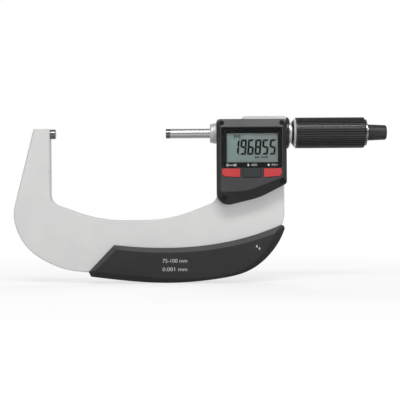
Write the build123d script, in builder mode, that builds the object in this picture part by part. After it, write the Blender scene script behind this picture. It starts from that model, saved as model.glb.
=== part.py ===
from build123d import *
import os

os.makedirs("parts", exist_ok=True)

# Outside micrometer, digital. Millimetres. Origin: middle of the anvil's measuring face.
# +X runs along the measuring line to the ratchet, +Z is up and the display faces -Y.
# A "depth" is a distance in front of the measuring line, so depth 5 lies at Y = -5.

# Measuring range
closed_gap = 75.0  # between the measuring faces at the lowest reading
travel = 25.0
overtravel = 0.5  # one turn of the screw past each end of the range

# Clearances
running_fit = 0.05  # radial, shafts that turn or slide
press_fit = 0.01  # radial, pieces pressed or screwed together for good
cover_gap = 0.25  # around caps, windows and lids in their openings
stack_gap = 0.05  # between flat faces that slide on each other
coil_gap = 0.02  # at each end of a spring

# Measuring line
stem_radius = 3.25  # anvil and spindle
tip_length = 3.0  # hard metal tips
tip_bevel = 0.15
anvil_standout = 3.45
anvil_shank_radius = 2.2
anvil_shank_length = 9.0
nose_standout = 29.9  # spindle showing between its tip and the nose, closed
nose_radius = 6.45
nose_flange_radius = 6.95
nose_flange_length = 2.2
nose_length = 4.6
nose_bevel = 0.5
bush_radius = 5.5
bush_length = 15.0
wiper_length = 1.6
wiper_radius = 4.6

# Frame
frame_thickness = 9.0
frame_bevel = 0.7
arm_rise = 3.5  # top of the arm above the measuring line
arm_width = 11.0
throat_depth = 58.5
beam_height = 40.05
column_setback = 1.1  # column's right side, short of the head's end
head_length = 46.5
neck_length = 18.5
neck_radius = 9.0
head_radius = 11.6
head_flare = 2.6
head_bevel = 0.8
block_top_inset = 0.5  # raised block behind the housing, below the housing's top
block_foot = 11.6

# Encoder
encoder_pocket_start = 26.5  # from the head's left end
encoder_pocket_length = 9.0
encoder_pocket_radius = 8.6
rotor_radius = 7.0
rotor_thickness = 1.2
rotor_hub_radius = 5.0
rotor_hub_length = 3.2
rotor_end_gap = 0.4
stator_radius = 7.2
stator_thickness = 1.0
stator_foot_step = 1.5
encoder_air_gap = 0.5
key_width = 1.2
key_depth = 0.8
key_root = 0.5  # key's hold in the rotor's hub
keyway_spare = 1.0
flex_width = 5.0
flex_thickness = 0.3

# Barrel, screw and thimble
thread_step = 0.65  # screw's radius over the spindle's
barrel_wall = 2.4
barrel_bore_gap = 0.5
barrel_end_inset = 14.7  # barrel's end, inside the thimble's closed end
nut_length = 13.0
nut_step = 0.6  # nut's seat over the barrel's bore
nut_slit_length = 8.0
adjuster_length = 4.5
adjuster_wall = 1.0
collet_length = 8.0
collet_gap = 0.5
collet_slit = 0.8
screw_length = 38.0
tail_setback = 1.0  # spindle's end, past the start of the stem's thread
stem_hole_spare = 3.0
lock_ring_gap = 0.4
lock_ring_length = 1.9
lock_ring_bevel = 0.6
lock_band_length = 0.5
lock_band_inset = 0.6
lock_ring_step = 0.2  # lock ring over the thimble
thimble_gap = 1.4  # thimble's front to the lock ring, closed
thimble_length = 51.1
thimble_clearance = 0.2  # radial, thimble over the adjusting nut
sleeve_wall = 0.9
grip_wall = 1.5
grip_start = 2.6  # from the thimble's front
grip_rib_count = 40
grip_rib_depth = 0.45
grip_rib_width = 0.75
grip_end_bevel = 2.3
grip_end_wall = 0.2
grip_skin = 0.4  # over the thimble's closed end
grip_lip = 1.0
rib_start = 1.0  # from the grip's front
front_cone_wall = 0.25
front_cone_length = 1.3
front_cone_rise = 1.8
front_ring_step = 0.3  # below the grip
front_ring_gap = 0.15  # radial, over the barrel
hub_length = 13.2
hub_taper_large = 3.2
hub_taper_small = 2.6
end_ring_radius = 5.8
end_ring_length = 0.45

# Ratchet
knob_gap = 0.1
knob_length = 12.7
knob_base_radius = 5.5
knob_end_radius = 4.96
knob_flute_count = 36
knob_flute_radius = 0.2
knob_collar_length = 1.1
knob_rounding = 0.6
stem_pin_radius = 1.6
stem_head_radius = 2.7
stem_head_length = 1.2
stem_slot_width = 0.7
stem_slot_depth = 0.6
stem_thread_radius = 1.5
stem_thread_length = 7.0
pawl_thickness = 1.4
pawl_radius = 3.9
pawl_tooth_count = 12
pawl_gap = 0.3
pawl_notch_length = 1.4
pawl_notch_width = 0.5
pawl_notch_depth = 0.4
spring_wire_radius = 0.3
spring_radius = 2.7
spring_length = 4.6
spring_pitch = 1.15
knob_web = 1.4
knob_cap_length = 0.9

# Display housing
housing_left_margin = 0.35  # housing past the frame's head on the left
housing_right_margin = 0.05
housing_top = 8.8
housing_foot = 50.6  # lower left corner below the measuring line, before rounding
block_cover = 0.2  # raised block over the barrel
housing_rim_depth = 12.5
housing_face_depth = 16.5
housing_wall = 1.6
housing_face_wall = 2.4
shell_wall = 1.7
gasket_width = 0.7
gasket_height = 0.5
gasket_inset = 0.45
plateau_left_inset = 2.5
plateau_right_inset = 2.8
plateau_top_inset = 5.3
rim_overlap = 0.5  # face's hollow, started inside the rim
face_hollow_inset = 0.2
wire_hole_width = 6.0
wire_hole_height = 4.0
cover_screw_inset = 3.3
cover_screw_drop = 2.8
upper_screw_end = 5.4  # depth of the tip of the two screws over the spindle
lower_screw_end = 1.0
cover_screw_head_radius = 1.5
cover_screw_head_length = 1.5
cover_screw_radius = 0.95
cover_screw_seat_depth = 11.4
screw_boss_radius = 2.6
screw_socket_width = 1.5
screw_socket_depth = 0.8

# Display
window_drop = 26.9  # height of the window
window_thickness = 1.0
window_margin = 0.55
window_corner = 1.0
mask_thickness = 0.2
lcd_width = 34.1
lcd_height = 19.4
lcd_left = 6.75  # from the housing's left side
lcd_top = 0.9  # below the measuring line
lcd_glass_margin = 2.0
lcd_glass_thickness = 1.8
strip_height = 1.6
board_depth = 9.0
board_thickness = 1.2
board_gap = 0.5
board_screw_radius = 0.8
board_screw_head_radius = 1.4
board_screw_head_length = 0.9
standoff_radius = 1.9
board_screw_reach = 2.0
board_screw_hole_depth = 2.5
chip_size = 8.0
chip_height = 1.0
chip_shift = (-6.0, -4.0)  # from the LCD's middle

# Buttons
button_top = 24.4  # below the measuring line
button_height = 5.9
button_widths = (12.2, 12.0, 12.0)
button_spacing = 1.8
button_first = 3.4  # from the housing's left side
button_proud = 0.5
button_rounding = 0.35
button_side_gap = 0.2
button_flange = 0.5
button_flange_thickness = 0.7
button_flange_inset = 1.0
button_flange_gap = 0.3
button_corner = 0.8
button_outer_corner = 2.2
button_outer_rise = 0.8  # lower edge of the outer caps, up to the outer side
dome_radius = 2.4
dome_tip_radius = 1.7
mat_thickness = 0.8
mat_margin = 3.6  # past the outer domes' centres
dome_gap = 0.8

# Grip pads
skirt = 2.4  # grip past the frame's lower edge
pad_edge_thickness = 0.9
pad_thickness = 3.6
pad_screw_radius = 1.2
pad_screw_head_radius = 2.4
pad_screw_head_length = 1.4
pad_screw_head_gap = 0.15
pad_screw_recess = 0.2
pad_screw_hold = 2.2  # in the front pad
pad_screw_hole_depth = 2.4
pad_socket_radius = 1.1
pad_socket_depth = 0.8

# Battery, in the frame's column
battery_across = 22.9  # centre from the head's left end
battery_drop = 31.0
battery_radius = 10.0
battery_thickness = 3.2
holder_radius = 12.8
holder_wall = 1.0
holder_floor = 1.2
contact_height = 2.0
contact_foot_radius = 6.0
contact_foot_thickness = 0.3
contact_cone_radius = 5.0
contact_tip_radius = 2.5
contact_hole_width = 5.0
contact_hole_height = 2.0
rear_cover_thickness = 1.7
rear_cover_width = 40.0
rear_cover_height = 36.5
rear_cover_corner = 4.0
rear_cover_bevel = 0.6
rear_screw_inset = 4.0
rear_screw_radius = 0.9
rear_screw_head_radius = 1.7
rear_screw_head_length = 0.9
rear_screw_reach = 3.5
rear_screw_hole_depth = 4.0
rear_socket_radius = 0.8
rear_socket_depth = 0.6
lid_proud = 0.3  # lid past the rear cover
lid_battery_gap = 0.1
lid_slot_width = 1.8
lid_slot_length = 13.0
lid_slot_depth = 1.0
lid_seal_radius = 0.5
lid_seal_inset = 0.2
lid_seal_shift = 0.2  # behind the lid's middle
lid_groove_gap = 0.1

# Places along the measuring line
nose_x = closed_gap + nose_standout
head_x = nose_x + nose_length
head_end = head_x + head_length
lock_x = head_end + lock_ring_gap
lock_end = lock_x + lock_ring_length + lock_band_length
thimble_x = lock_end + thimble_gap
thimble_end = thimble_x + thimble_length
barrel_end = thimble_end - barrel_end_inset
hub_x = thimble_end - hub_length
end_ring_x = thimble_end
knob_x = end_ring_x + end_ring_length + knob_gap
knob_end = knob_x + knob_length
nut_x = barrel_end - nut_length
screw_end = hub_x - overtravel
screw_x = screw_end - screw_length
pocket_x = head_x + encoder_pocket_start
pocket_end = pocket_x + encoder_pocket_length

# Radii that follow from each other
screw_radius = stem_radius + thread_step
barrel_bore = screw_radius + barrel_bore_gap
barrel_radius = barrel_bore + barrel_wall
nut_radius = barrel_bore + nut_step - press_fit
adjuster_radius = barrel_radius + adjuster_wall
sleeve_bore = adjuster_radius + thimble_clearance
sleeve_radius = sleeve_bore + sleeve_wall
thimble_radius = sleeve_radius + grip_wall
lock_ring_radius = thimble_radius + lock_ring_step
front_bore = barrel_radius + front_ring_gap
front_cone_radius = front_bore + front_cone_wall
front_ring_radius = front_cone_radius + front_cone_rise
front_ring_large_radius = thimble_radius - front_ring_step
grip_end_radius = sleeve_bore - grip_lip + grip_end_wall

# Places of the frame
arm_inner = -anvil_standout
arm_outer = arm_inner - arm_width
throat_floor = -throat_depth
throat_width = head_x - arm_inner
beam_bottom = throat_floor - beam_height
column_right = head_end - column_setback
half_frame = frame_thickness / 2

# Places of the housing
housing_left = head_x - housing_left_margin
housing_right = head_end + housing_right_margin
housing_back = half_frame
housing_shell_depth = barrel_radius + block_cover
housing_inside = housing_face_depth - housing_face_wall
block_top = housing_top - block_top_inset


def band(x_start, x_end, inner, outer):
    """Corners of a turned band between two places and two radii."""
    return ((x_start, inner), (x_start, outer), (x_end, outer), (x_end, inner))


def rise(share):
    """Height above the beam's lowest edge, as a share of the beam's height."""
    return beam_bottom + share * beam_height


def belly_rounding(radius, share):
    """Rounding of a corner under the beam, limited by a share of the beam's height."""
    return min(radius, share * beam_height)


def belly_points(spread):
    """Lower edge of the beam from right to left, moved outwards by a thickness."""
    return (
        (column_right - 2.4 + spread, rise(0.834)),
        (column_right - 10.9 + 0.83 * spread, rise(0.477) - 0.55 * spread),
        (column_right - 25.4 + 0.42 * spread, rise(0.19) - 0.91 * spread),
        (column_right - 43.3 + 0.17 * spread, rise(0.07) - 0.98 * spread),
        (arm_inner + 0.68 * throat_width, beam_bottom - spread),
        (arm_inner + 27.8 - 0.1 * spread, rise(0.11) - spread),
    )


def frame_face():
    """Outline of the C-shaped frame below its head: corners, each with its rounding."""
    corners = (
        ((arm_outer, arm_rise), 0.8),
        ((arm_inner, arm_rise), 0.8),
        ((arm_inner, throat_floor + 12.0), 8.0),
        ((arm_inner + 0.296 * throat_width, throat_floor - 0.1), 90.0),
        ((arm_inner + 0.712 * throat_width, throat_floor - 0.1), 90.0),
        ((head_x, throat_floor + 12.5), 7.0),
        ((head_x, arm_rise), 0.8),
        ((column_right, arm_rise), 0.8),
        ((column_right, throat_floor + 2.2), 2.0),
        ((column_right - 1.6, rise(0.903)), 2.0),
        ((column_right - 9.9, rise(0.449)), belly_rounding(40.0, 1.0)),
        ((column_right - 30.9, rise(0.097)), belly_rounding(49.0, 1.23)),
        ((arm_inner + 0.677 * throat_width, beam_bottom - 0.4), belly_rounding(150.0, 3.75)),
        ((arm_inner + 5.4, rise(0.172)), belly_rounding(58.0, 1.45)),
        ((arm_outer - 7.5, rise(0.549)), belly_rounding(36.0, 0.9)),
        ((arm_outer - 14.8, throat_floor + 2.95), belly_rounding(28.0, 0.7)),
    )
    points = [corner[0] for corner in corners]
    roundings = [corner[1] for corner in corners]
    with BuildSketch() as outline:
        with BuildLine():
            FilletPolyline(*points, radius=roundings, close=True)
        make_face()
    return outline.sketch


def pad_face():
    """Outline of the grip pads, which stand past the frame's lower edge."""
    belly = belly_points(skirt)
    top_left = (arm_inner + 43.2, rise(0.581))
    top_right = (column_right - 2.4, rise(0.905))
    left_tip = (arm_inner + 26.0, rise(0.13))
    with BuildSketch() as outline:
        with BuildLine():
            Spline(
                top_left,
                (arm_inner + 0.7 * throat_width, rise(0.528)),
                (column_right - 38.9, rise(0.623)),
                top_right,
            )
            ThreePointArc(top_right, (column_right - 0.5, rise(0.885)), belly[0])
            Spline(*belly)
            Line(belly[-1], left_tip)
            Line(left_tip, top_left)
        make_face()
    return outline.sketch


def pad_plateau():
    """Outline of the grip pads' raised middle."""
    top_left = (arm_inner + 45.0, rise(0.511))
    top_right = (column_right - 7.0, rise(0.763))
    low_right = (column_right - 8.4, rise(0.675))
    low_left = (arm_inner + 31.0, rise(0.132))
    left_tip = (arm_inner + 30.6, rise(0.155))
    with BuildSketch() as outline:
        with BuildLine():
            Spline(
                top_left,
                (arm_inner + 0.7 * throat_width, rise(0.453)),
                (column_right - 36.9, rise(0.551)),
                top_right,
            )
            ThreePointArc(top_right, (column_right - 6.9, rise(0.73)), low_right)
            Spline(
                low_right,
                (column_right - 14.4, rise(0.439)),
                (column_right - 28.5, rise(0.165)),
                (column_right - 46.0, rise(0.052)),
                (arm_inner + 0.68 * throat_width, rise(0.022)),
                low_left,
            )
            Line(low_left, left_tip)
            Line(left_tip, top_left)
        make_face()
    return outline.sketch


def housing_face(inset):
    """Outline of the display housing, drawn in by an even distance."""
    with BuildSketch() as outline:
        with BuildLine():
            FilletPolyline(
                (housing_left, housing_top),
                (housing_right, housing_top),
                (housing_right, -housing_foot + 16.2),
                (housing_left + 28.8, -housing_foot + 6.9),
                (housing_left, -housing_foot),
                radius=[2.4, 2.4, 2.6, 45.0, 8.0],
                close=True,
            )
        make_face()
        if inset:
            offset(amount=-inset)
    return outline.sketch


def plateau_face(inset):
    """Outline of the housing's raised front, drawn in by an even distance."""
    left = housing_left + plateau_left_inset
    right = housing_right - plateau_right_inset
    with BuildSketch() as outline:
        with BuildLine():
            FilletPolyline(
                (left, housing_top - plateau_top_inset),
                (right, housing_top - plateau_top_inset),
                (right, -housing_foot + 20.4),
                (housing_left + 19.8, -housing_foot + 11.1),
                (left, -housing_foot + 10.7),
                radius=[1.2, 1.2, 1.5, 40.0, 2.0],
                close=True,
            )
        make_face()
        if inset:
            offset(amount=-inset)
    return outline.sketch


def at_depth(depth):
    """Plane that faces the user, a distance in front of the measuring line."""
    return Plane.XZ.offset(depth)


upper_screw_places = (
    (housing_left + cover_screw_inset, housing_top - cover_screw_drop),
    (housing_right - cover_screw_inset, housing_top - cover_screw_drop),
)
lower_screw_places = (
    (housing_left + cover_screw_inset + 1.6, -housing_foot + 6.5),
    (housing_right - cover_screw_inset, -housing_foot + 17.6),
)
cover_screw_places = upper_screw_places + lower_screw_places
board_screw_places = (
    (housing_left + 5.5, -block_foot - 3.5),
    (housing_right - 5.5, -block_foot - 3.5),
    (housing_left + 7.0, -housing_foot + 14.5),
)
battery_place = (head_x + battery_across, -battery_drop)
rear_screw_spread = (
    rear_cover_width - 2 * rear_screw_inset,
    rear_cover_height - 2 * rear_screw_inset,
)
pad_screw_places = (
    (arm_inner + 0.45 * throat_width, rise(0.287)),
    (arm_inner + 0.72 * throat_width, rise(0.27)),
    (column_right - 24.0, rise(0.487)),
)

# Frame: C-shaped plate with a round head, bored for the spindle line and the encoder
with BuildPart() as frame:
    with BuildSketch(Plane.XZ):
        add(frame_face())
    extrude(amount=half_frame, both=True)
    chamfer(frame.faces().filter_by(Axis.Y).edges(), frame_bevel)
    with BuildSketch(Plane.XZ):
        Polygon(
            (head_x, 0),
            (head_x, neck_radius - head_bevel),
            (head_x + head_bevel, neck_radius),
            (head_x + neck_length - head_flare, neck_radius),
            (head_x + neck_length, head_radius),
            (head_end - head_bevel, head_radius),
            (head_end, head_radius - head_bevel),
            (head_end, 0),
            align=None,
        )
    revolve(axis=Axis.X)
    with BuildSketch(Plane.XZ):
        with Locations(((head_x + head_end) / 2, (block_top - block_foot) / 2)):
            Rectangle(head_length, block_top + block_foot)
    extrude(amount=housing_shell_depth)
    with BuildSketch(at_depth(housing_shell_depth)):
        with Locations(((head_x + head_end) / 2, 0)):
            Rectangle(2 * head_length, 4 * head_radius)
    extrude(amount=head_radius, mode=Mode.SUBTRACT)
    with BuildSketch(Plane.XZ):
        Polygon(*band(head_x, pocket_x, 0, bush_radius), align=None)
        Polygon(*band(pocket_x, pocket_end, 0, encoder_pocket_radius), align=None)
        Polygon(*band(pocket_end, head_end, 0, barrel_radius), align=None)
        Polygon(*band(arm_inner - anvil_shank_length, arm_inner, 0, anvil_shank_radius), align=None)
    revolve(axis=Axis.X, mode=Mode.SUBTRACT)
    with BuildSketch(at_depth(half_frame)):
        with Locations(battery_place):
            Circle(holder_radius)
    extrude(amount=-frame_thickness, mode=Mode.SUBTRACT)
    with BuildSketch(at_depth(upper_screw_end)):
        with Locations(*upper_screw_places):
            Circle(cover_screw_radius + press_fit)
    extrude(amount=housing_shell_depth - upper_screw_end, mode=Mode.SUBTRACT)
    with BuildSketch(at_depth(lower_screw_end)):
        with Locations(*lower_screw_places):
            Circle(cover_screw_radius + press_fit)
    extrude(amount=half_frame - lower_screw_end, mode=Mode.SUBTRACT)
    with BuildSketch(at_depth(-half_frame)):
        with Locations(battery_place):
            with GridLocations(*rear_screw_spread, 2, 2):
                Circle(rear_screw_radius + press_fit)
    extrude(amount=rear_screw_hole_depth, mode=Mode.SUBTRACT)
    with BuildSketch(at_depth(half_frame)):
        with Locations(*pad_screw_places):
            Circle(pad_screw_radius + running_fit)
    extrude(amount=-frame_thickness, mode=Mode.SUBTRACT)
frame.part.label = "frame"
export_step(frame.part, "parts/frame.step")

# Anvil: shank in the arm, shoulder against it, hard tip on its end
with BuildPart() as anvil:
    with BuildSketch(Plane.XZ):
        Polygon(
            (arm_inner - anvil_shank_length + tip_bevel, 0),
            (arm_inner - anvil_shank_length + tip_bevel, anvil_shank_radius - press_fit),
            (arm_inner, anvil_shank_radius - press_fit),
            (arm_inner, stem_radius),
            (-tip_length, stem_radius),
            (-tip_length, 0),
            align=None,
        )
    revolve(axis=Axis.X)
anvil.part.label = "anvil"
export_step(anvil.part, "parts/anvil.step")

with BuildPart() as anvil_tip:
    with BuildSketch(Plane.XZ):
        Polygon(
            (-tip_length, 0),
            (-tip_length, stem_radius),
            (-tip_bevel, stem_radius),
            (0, stem_radius - tip_bevel),
            (0, 0),
            align=None,
        )
    revolve(axis=Axis.X)
anvil_tip.part.label = "anvil_tip"
export_step(anvil_tip.part, "parts/anvil_tip.step")

# Nose: bright collar round the spindle with a wiper inside
with BuildPart() as spindle_nose:
    with BuildSketch(Plane.XZ):
        Polygon(
            (nose_x, stem_radius + running_fit),
            (nose_x, nose_radius - nose_bevel),
            (nose_x + nose_bevel, nose_radius),
            (nose_x + nose_flange_length, nose_radius),
            (nose_x + nose_flange_length, nose_flange_radius),
            (head_x, nose_flange_radius),
            (head_x, bush_radius - press_fit),
            (head_x + nose_flange_length, bush_radius - press_fit),
            (head_x + nose_flange_length, stem_radius + running_fit),
            align=None,
        )
    revolve(axis=Axis.X)
    with BuildSketch(Plane.XZ):
        Polygon(*band(head_x - wiper_length, head_x, 0, wiper_radius), align=None)
    revolve(axis=Axis.X, mode=Mode.SUBTRACT)
spindle_nose.part.label = "spindle_nose"
export_step(spindle_nose.part, "parts/spindle_nose.step")

with BuildPart() as nose_wiper:
    with BuildSketch(Plane.XZ):
        Polygon(
            *band(head_x - wiper_length, head_x, stem_radius + running_fit, wiper_radius - press_fit),
            align=None,
        )
    revolve(axis=Axis.X)
nose_wiper.part.label = "nose_wiper"
export_step(nose_wiper.part, "parts/nose_wiper.step")

bush_x = head_x + nose_flange_length
with BuildPart() as spindle_bush:
    with BuildSketch(Plane.XZ):
        Polygon(
            *band(bush_x, bush_x + bush_length, stem_radius + running_fit, bush_radius - press_fit),
            align=None,
        )
    revolve(axis=Axis.X)
spindle_bush.part.label = "spindle_bush"
export_step(spindle_bush.part, "parts/spindle_bush.step")

# Encoder: ring keyed to the spindle, and the fixed ring that reads it
hub_seat = pocket_x + rotor_end_gap
rotor_x = hub_seat + rotor_hub_length
stator_x = rotor_x + rotor_thickness + encoder_air_gap
key_x = hub_seat + rotor_hub_length / 2
with BuildPart() as encoder_rotor:
    with BuildSketch(Plane.XZ):
        Polygon(*band(hub_seat, rotor_x, stem_radius + running_fit, rotor_hub_radius), align=None)
        Polygon(
            *band(rotor_x, rotor_x + rotor_thickness, stem_radius + running_fit, rotor_radius),
            align=None,
        )
    revolve(axis=Axis.X)
    with BuildSketch(Plane.XY.offset(stem_radius - key_depth + running_fit)):
        with Locations((key_x, 0)):
            Rectangle(rotor_hub_length, key_width - 2 * running_fit)
    extrude(amount=key_depth + key_root)
encoder_rotor.part.label = "encoder_rotor"
export_step(encoder_rotor.part, "parts/encoder_rotor.step")

with BuildPart() as encoder_stator:
    with BuildSketch(Plane.XZ):
        Polygon(
            *band(
                stator_x,
                pocket_end,
                stem_radius + thread_step,
                stator_radius - stator_foot_step,
            ),
            align=None,
        )
        Polygon(
            *band(stator_x, stator_x + stator_thickness, stem_radius + thread_step, stator_radius),
            align=None,
        )
    revolve(axis=Axis.X)
encoder_stator.part.label = "encoder_stator"
export_step(encoder_stator.part, "parts/encoder_stator.step")

# Flat cable: stands on the stator's rim and reaches the circuit board
flex_x = stator_x + stator_thickness / 2
with BuildPart() as encoder_flex:
    with BuildSketch(at_depth(stator_radius)):
        with Locations((flex_x, 0)):
            Rectangle(flex_thickness, flex_width)
    extrude(amount=board_depth - stator_radius)
encoder_flex.part.label = "encoder_flex"
export_step(encoder_flex.part, "parts/encoder_flex.step")

# Barrel with its nut, adjusting nut and lock collet
with BuildPart() as barrel:
    with BuildSketch(Plane.XZ):
        Polygon(
            *band(pocket_end, nut_x, barrel_bore, barrel_radius - press_fit),
            align=None,
        )
        Polygon(
            *band(nut_x, barrel_end, nut_radius + press_fit, barrel_radius - press_fit),
            align=None,
        )
    revolve(axis=Axis.X)
barrel.part.label = "barrel"
export_step(barrel.part, "parts/barrel.step")

with BuildPart() as spindle_nut:
    with BuildSketch(Plane.XZ):
        Polygon(
            *band(nut_x, barrel_end, screw_radius + running_fit, nut_radius),
            align=None,
        )
    revolve(axis=Axis.X)
    with BuildSketch(Plane.YZ.offset(barrel_end - nut_slit_length)):
        Rectangle(4 * barrel_radius, collet_slit)
    extrude(amount=nut_slit_length, mode=Mode.SUBTRACT)
spindle_nut.part.label = "spindle_nut"
export_step(spindle_nut.part, "parts/spindle_nut.step")

with BuildPart() as adjusting_nut:
    with BuildSketch(Plane.XZ):
        Polygon(
            *band(barrel_end - adjuster_length, barrel_end, barrel_radius, adjuster_radius),
            align=None,
        )
    revolve(axis=Axis.X)
adjusting_nut.part.label = "adjusting_nut"
export_step(adjusting_nut.part, "parts/adjusting_nut.step")

collet_x = screw_x - overtravel - collet_length - collet_gap
with BuildPart() as lock_collet:
    with BuildSketch(Plane.XZ):
        Polygon(
            *band(
                collet_x,
                collet_x + collet_length,
                stem_radius + running_fit,
                barrel_bore - press_fit,
            ),
            align=None,
        )
    revolve(axis=Axis.X)
    with BuildSketch(Plane.YZ.offset(collet_x)):
        with Locations((0, barrel_bore)):
            Rectangle(collet_slit, 2 * barrel_bore)
    extrude(amount=collet_length, mode=Mode.SUBTRACT)
lock_collet.part.label = "lock_collet"
export_step(lock_collet.part, "parts/lock_collet.step")

# Lock ring round the barrel
with BuildPart() as lock_ring:
    with BuildSketch(Plane.XZ):
        Polygon(
            (lock_x, barrel_radius + running_fit),
            (lock_x, lock_ring_radius),
            (lock_x + lock_ring_length - lock_ring_bevel, lock_ring_radius),
            (lock_x + lock_ring_length, lock_ring_radius - lock_ring_bevel),
            (lock_x + lock_ring_length, barrel_radius + running_fit),
            align=None,
        )
    revolve(axis=Axis.X)
lock_ring.part.label = "lock_ring"
export_step(lock_ring.part, "parts/lock_ring.step")

with BuildPart() as lock_ring_band:
    with BuildSketch(Plane.XZ):
        Polygon(
            *band(
                lock_x + lock_ring_length,
                lock_end,
                barrel_radius + running_fit,
                lock_ring_radius - lock_ring_bevel - lock_band_inset,
            ),
            align=None,
        )
    revolve(axis=Axis.X)
lock_ring_band.part.label = "lock_ring_band"
export_step(lock_ring_band.part, "parts/lock_ring_band.step")

# Spindle: tip, ground stem with a keyway, screw, tail in the thimble's hub
stem_thread_start = thimble_end - stem_thread_length
tail_end = stem_thread_start + tail_setback
with BuildPart() as spindle:
    with BuildSketch(Plane.XZ):
        Polygon(
            (closed_gap + tip_length, 0),
            (closed_gap + tip_length, stem_radius),
            (screw_x, stem_radius),
            (screw_x, screw_radius),
            (screw_end, screw_radius),
            (screw_end, hub_taper_large),
            (hub_x, hub_taper_large),
            (tail_end, hub_taper_small),
            (tail_end, stem_thread_radius + press_fit),
            (stem_thread_start - stem_hole_spare, stem_thread_radius + press_fit),
            (stem_thread_start - stem_hole_spare, 0),
            align=None,
        )
    revolve(axis=Axis.X)
    with BuildSketch(Plane.XY.offset(stem_radius - key_depth)):
        with Locations((key_x - travel / 2, 0)):
            Rectangle(travel + 2 * overtravel + rotor_hub_length + keyway_spare, key_width)
    extrude(amount=key_depth, mode=Mode.SUBTRACT)
spindle.part.label = "spindle"
export_step(spindle.part, "parts/spindle.step")

with BuildPart() as spindle_tip:
    with BuildSketch(Plane.XZ):
        Polygon(
            (closed_gap, 0),
            (closed_gap, stem_radius - tip_bevel),
            (closed_gap + tip_bevel, stem_radius),
            (closed_gap + tip_length, stem_radius),
            (closed_gap + tip_length, 0),
            align=None,
        )
    revolve(axis=Axis.X)
spindle_tip.part.label = "spindle_tip"
export_step(spindle_tip.part, "parts/spindle_tip.step")

# Thimble: steel sleeve with a dark cone and a bright ring in front, ribbed grip, hub, end ring
with BuildPart() as thimble_sleeve:
    with BuildSketch(Plane.XZ):
        Polygon(
            *band(thimble_x + grip_start, thimble_end - grip_skin, sleeve_bore, sleeve_radius),
            align=None,
        )
    revolve(axis=Axis.X)
thimble_sleeve.part.label = "thimble_sleeve"
export_step(thimble_sleeve.part, "parts/thimble_sleeve.step")

front_ring_x = thimble_x + front_cone_length
with BuildPart() as thimble_front_cone:
    with BuildSketch(Plane.XZ):
        Polygon(
            (thimble_x, front_bore),
            (thimble_x, front_cone_radius),
            (front_ring_x, front_ring_radius),
            (front_ring_x, front_bore),
            align=None,
        )
    revolve(axis=Axis.X)
thimble_front_cone.part.label = "thimble_front_cone"
export_step(thimble_front_cone.part, "parts/thimble_front_cone.step")

with BuildPart() as thimble_front_ring:
    with BuildSketch(Plane.XZ):
        Polygon(
            (front_ring_x, front_bore),
            (front_ring_x, front_ring_radius),
            (thimble_x + grip_start, front_ring_large_radius),
            (thimble_x + grip_start, front_bore),
            align=None,
        )
    revolve(axis=Axis.X)
thimble_front_ring.part.label = "thimble_front_ring"
export_step(thimble_front_ring.part, "parts/thimble_front_ring.step")

with BuildPart() as thimble_grip:
    with BuildSketch(Plane.XZ):
        Polygon(
            (thimble_x + grip_start, sleeve_radius),
            (thimble_x + grip_start, thimble_radius),
            (thimble_end - grip_end_bevel, thimble_radius),
            (thimble_end, grip_end_radius),
            (thimble_end, sleeve_bore - grip_lip),
            (thimble_end - grip_skin, sleeve_bore - grip_lip),
            (thimble_end - grip_skin, sleeve_radius),
            align=None,
        )
    revolve(axis=Axis.X)
    with BuildSketch(Plane.YZ.offset(thimble_x + grip_start + rib_start)):
        with PolarLocations(thimble_radius, grip_rib_count):
            Rectangle(2 * grip_rib_depth, grip_rib_width)
    extrude(amount=thimble_length, mode=Mode.SUBTRACT)
thimble_grip.part.label = "thimble_grip"
export_step(thimble_grip.part, "parts/thimble_grip.step")

with BuildPart() as thimble_hub:
    with BuildSketch(Plane.XZ):
        Polygon(
            (hub_x, hub_taper_large),
            (hub_x, sleeve_bore - press_fit),
            (thimble_end - grip_skin, sleeve_bore - press_fit),
            (thimble_end - grip_skin, sleeve_bore - grip_lip - press_fit),
            (thimble_end, sleeve_bore - grip_lip - press_fit),
            (thimble_end, stem_thread_radius + press_fit),
            (tail_end, stem_thread_radius + press_fit),
            (tail_end, hub_taper_small),
            align=None,
        )
    revolve(axis=Axis.X)
thimble_hub.part.label = "thimble_hub"
export_step(thimble_hub.part, "parts/thimble_hub.step")

with BuildPart() as thimble_end_ring:
    with BuildSketch(Plane.XZ):
        Polygon(
            *band(
                end_ring_x,
                end_ring_x + end_ring_length,
                stem_pin_radius + press_fit,
                end_ring_radius,
            ),
            align=None,
        )
    revolve(axis=Axis.X)
thimble_end_ring.part.label = "thimble_end_ring"
export_step(thimble_end_ring.part, "parts/thimble_end_ring.step")

# Ratchet: screw into the spindle's end, knob that turns on it, toothed pawl disc and spring
pawl_x = knob_x + pawl_gap
spring_x = pawl_x + pawl_thickness
web_x = spring_x + spring_length
web_end = web_x + knob_web
stem_head_end = web_end + running_fit + stem_head_length
with BuildPart() as ratchet_stem:
    with BuildSketch(Plane.XZ):
        Polygon(
            (stem_thread_start, 0),
            (stem_thread_start, stem_thread_radius),
            (end_ring_x, stem_thread_radius),
            (end_ring_x, stem_pin_radius),
            (web_end + running_fit, stem_pin_radius),
            (web_end + running_fit, stem_head_radius),
            (stem_head_end, stem_head_radius),
            (stem_head_end, 0),
            align=None,
        )
    revolve(axis=Axis.X)
    with BuildSketch(Plane.YZ.offset(stem_head_end)):
        Rectangle(4 * stem_head_radius, stem_slot_width)
    extrude(amount=-stem_slot_depth, mode=Mode.SUBTRACT)
ratchet_stem.part.label = "ratchet_stem"
export_step(ratchet_stem.part, "parts/ratchet_stem.step")

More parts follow.
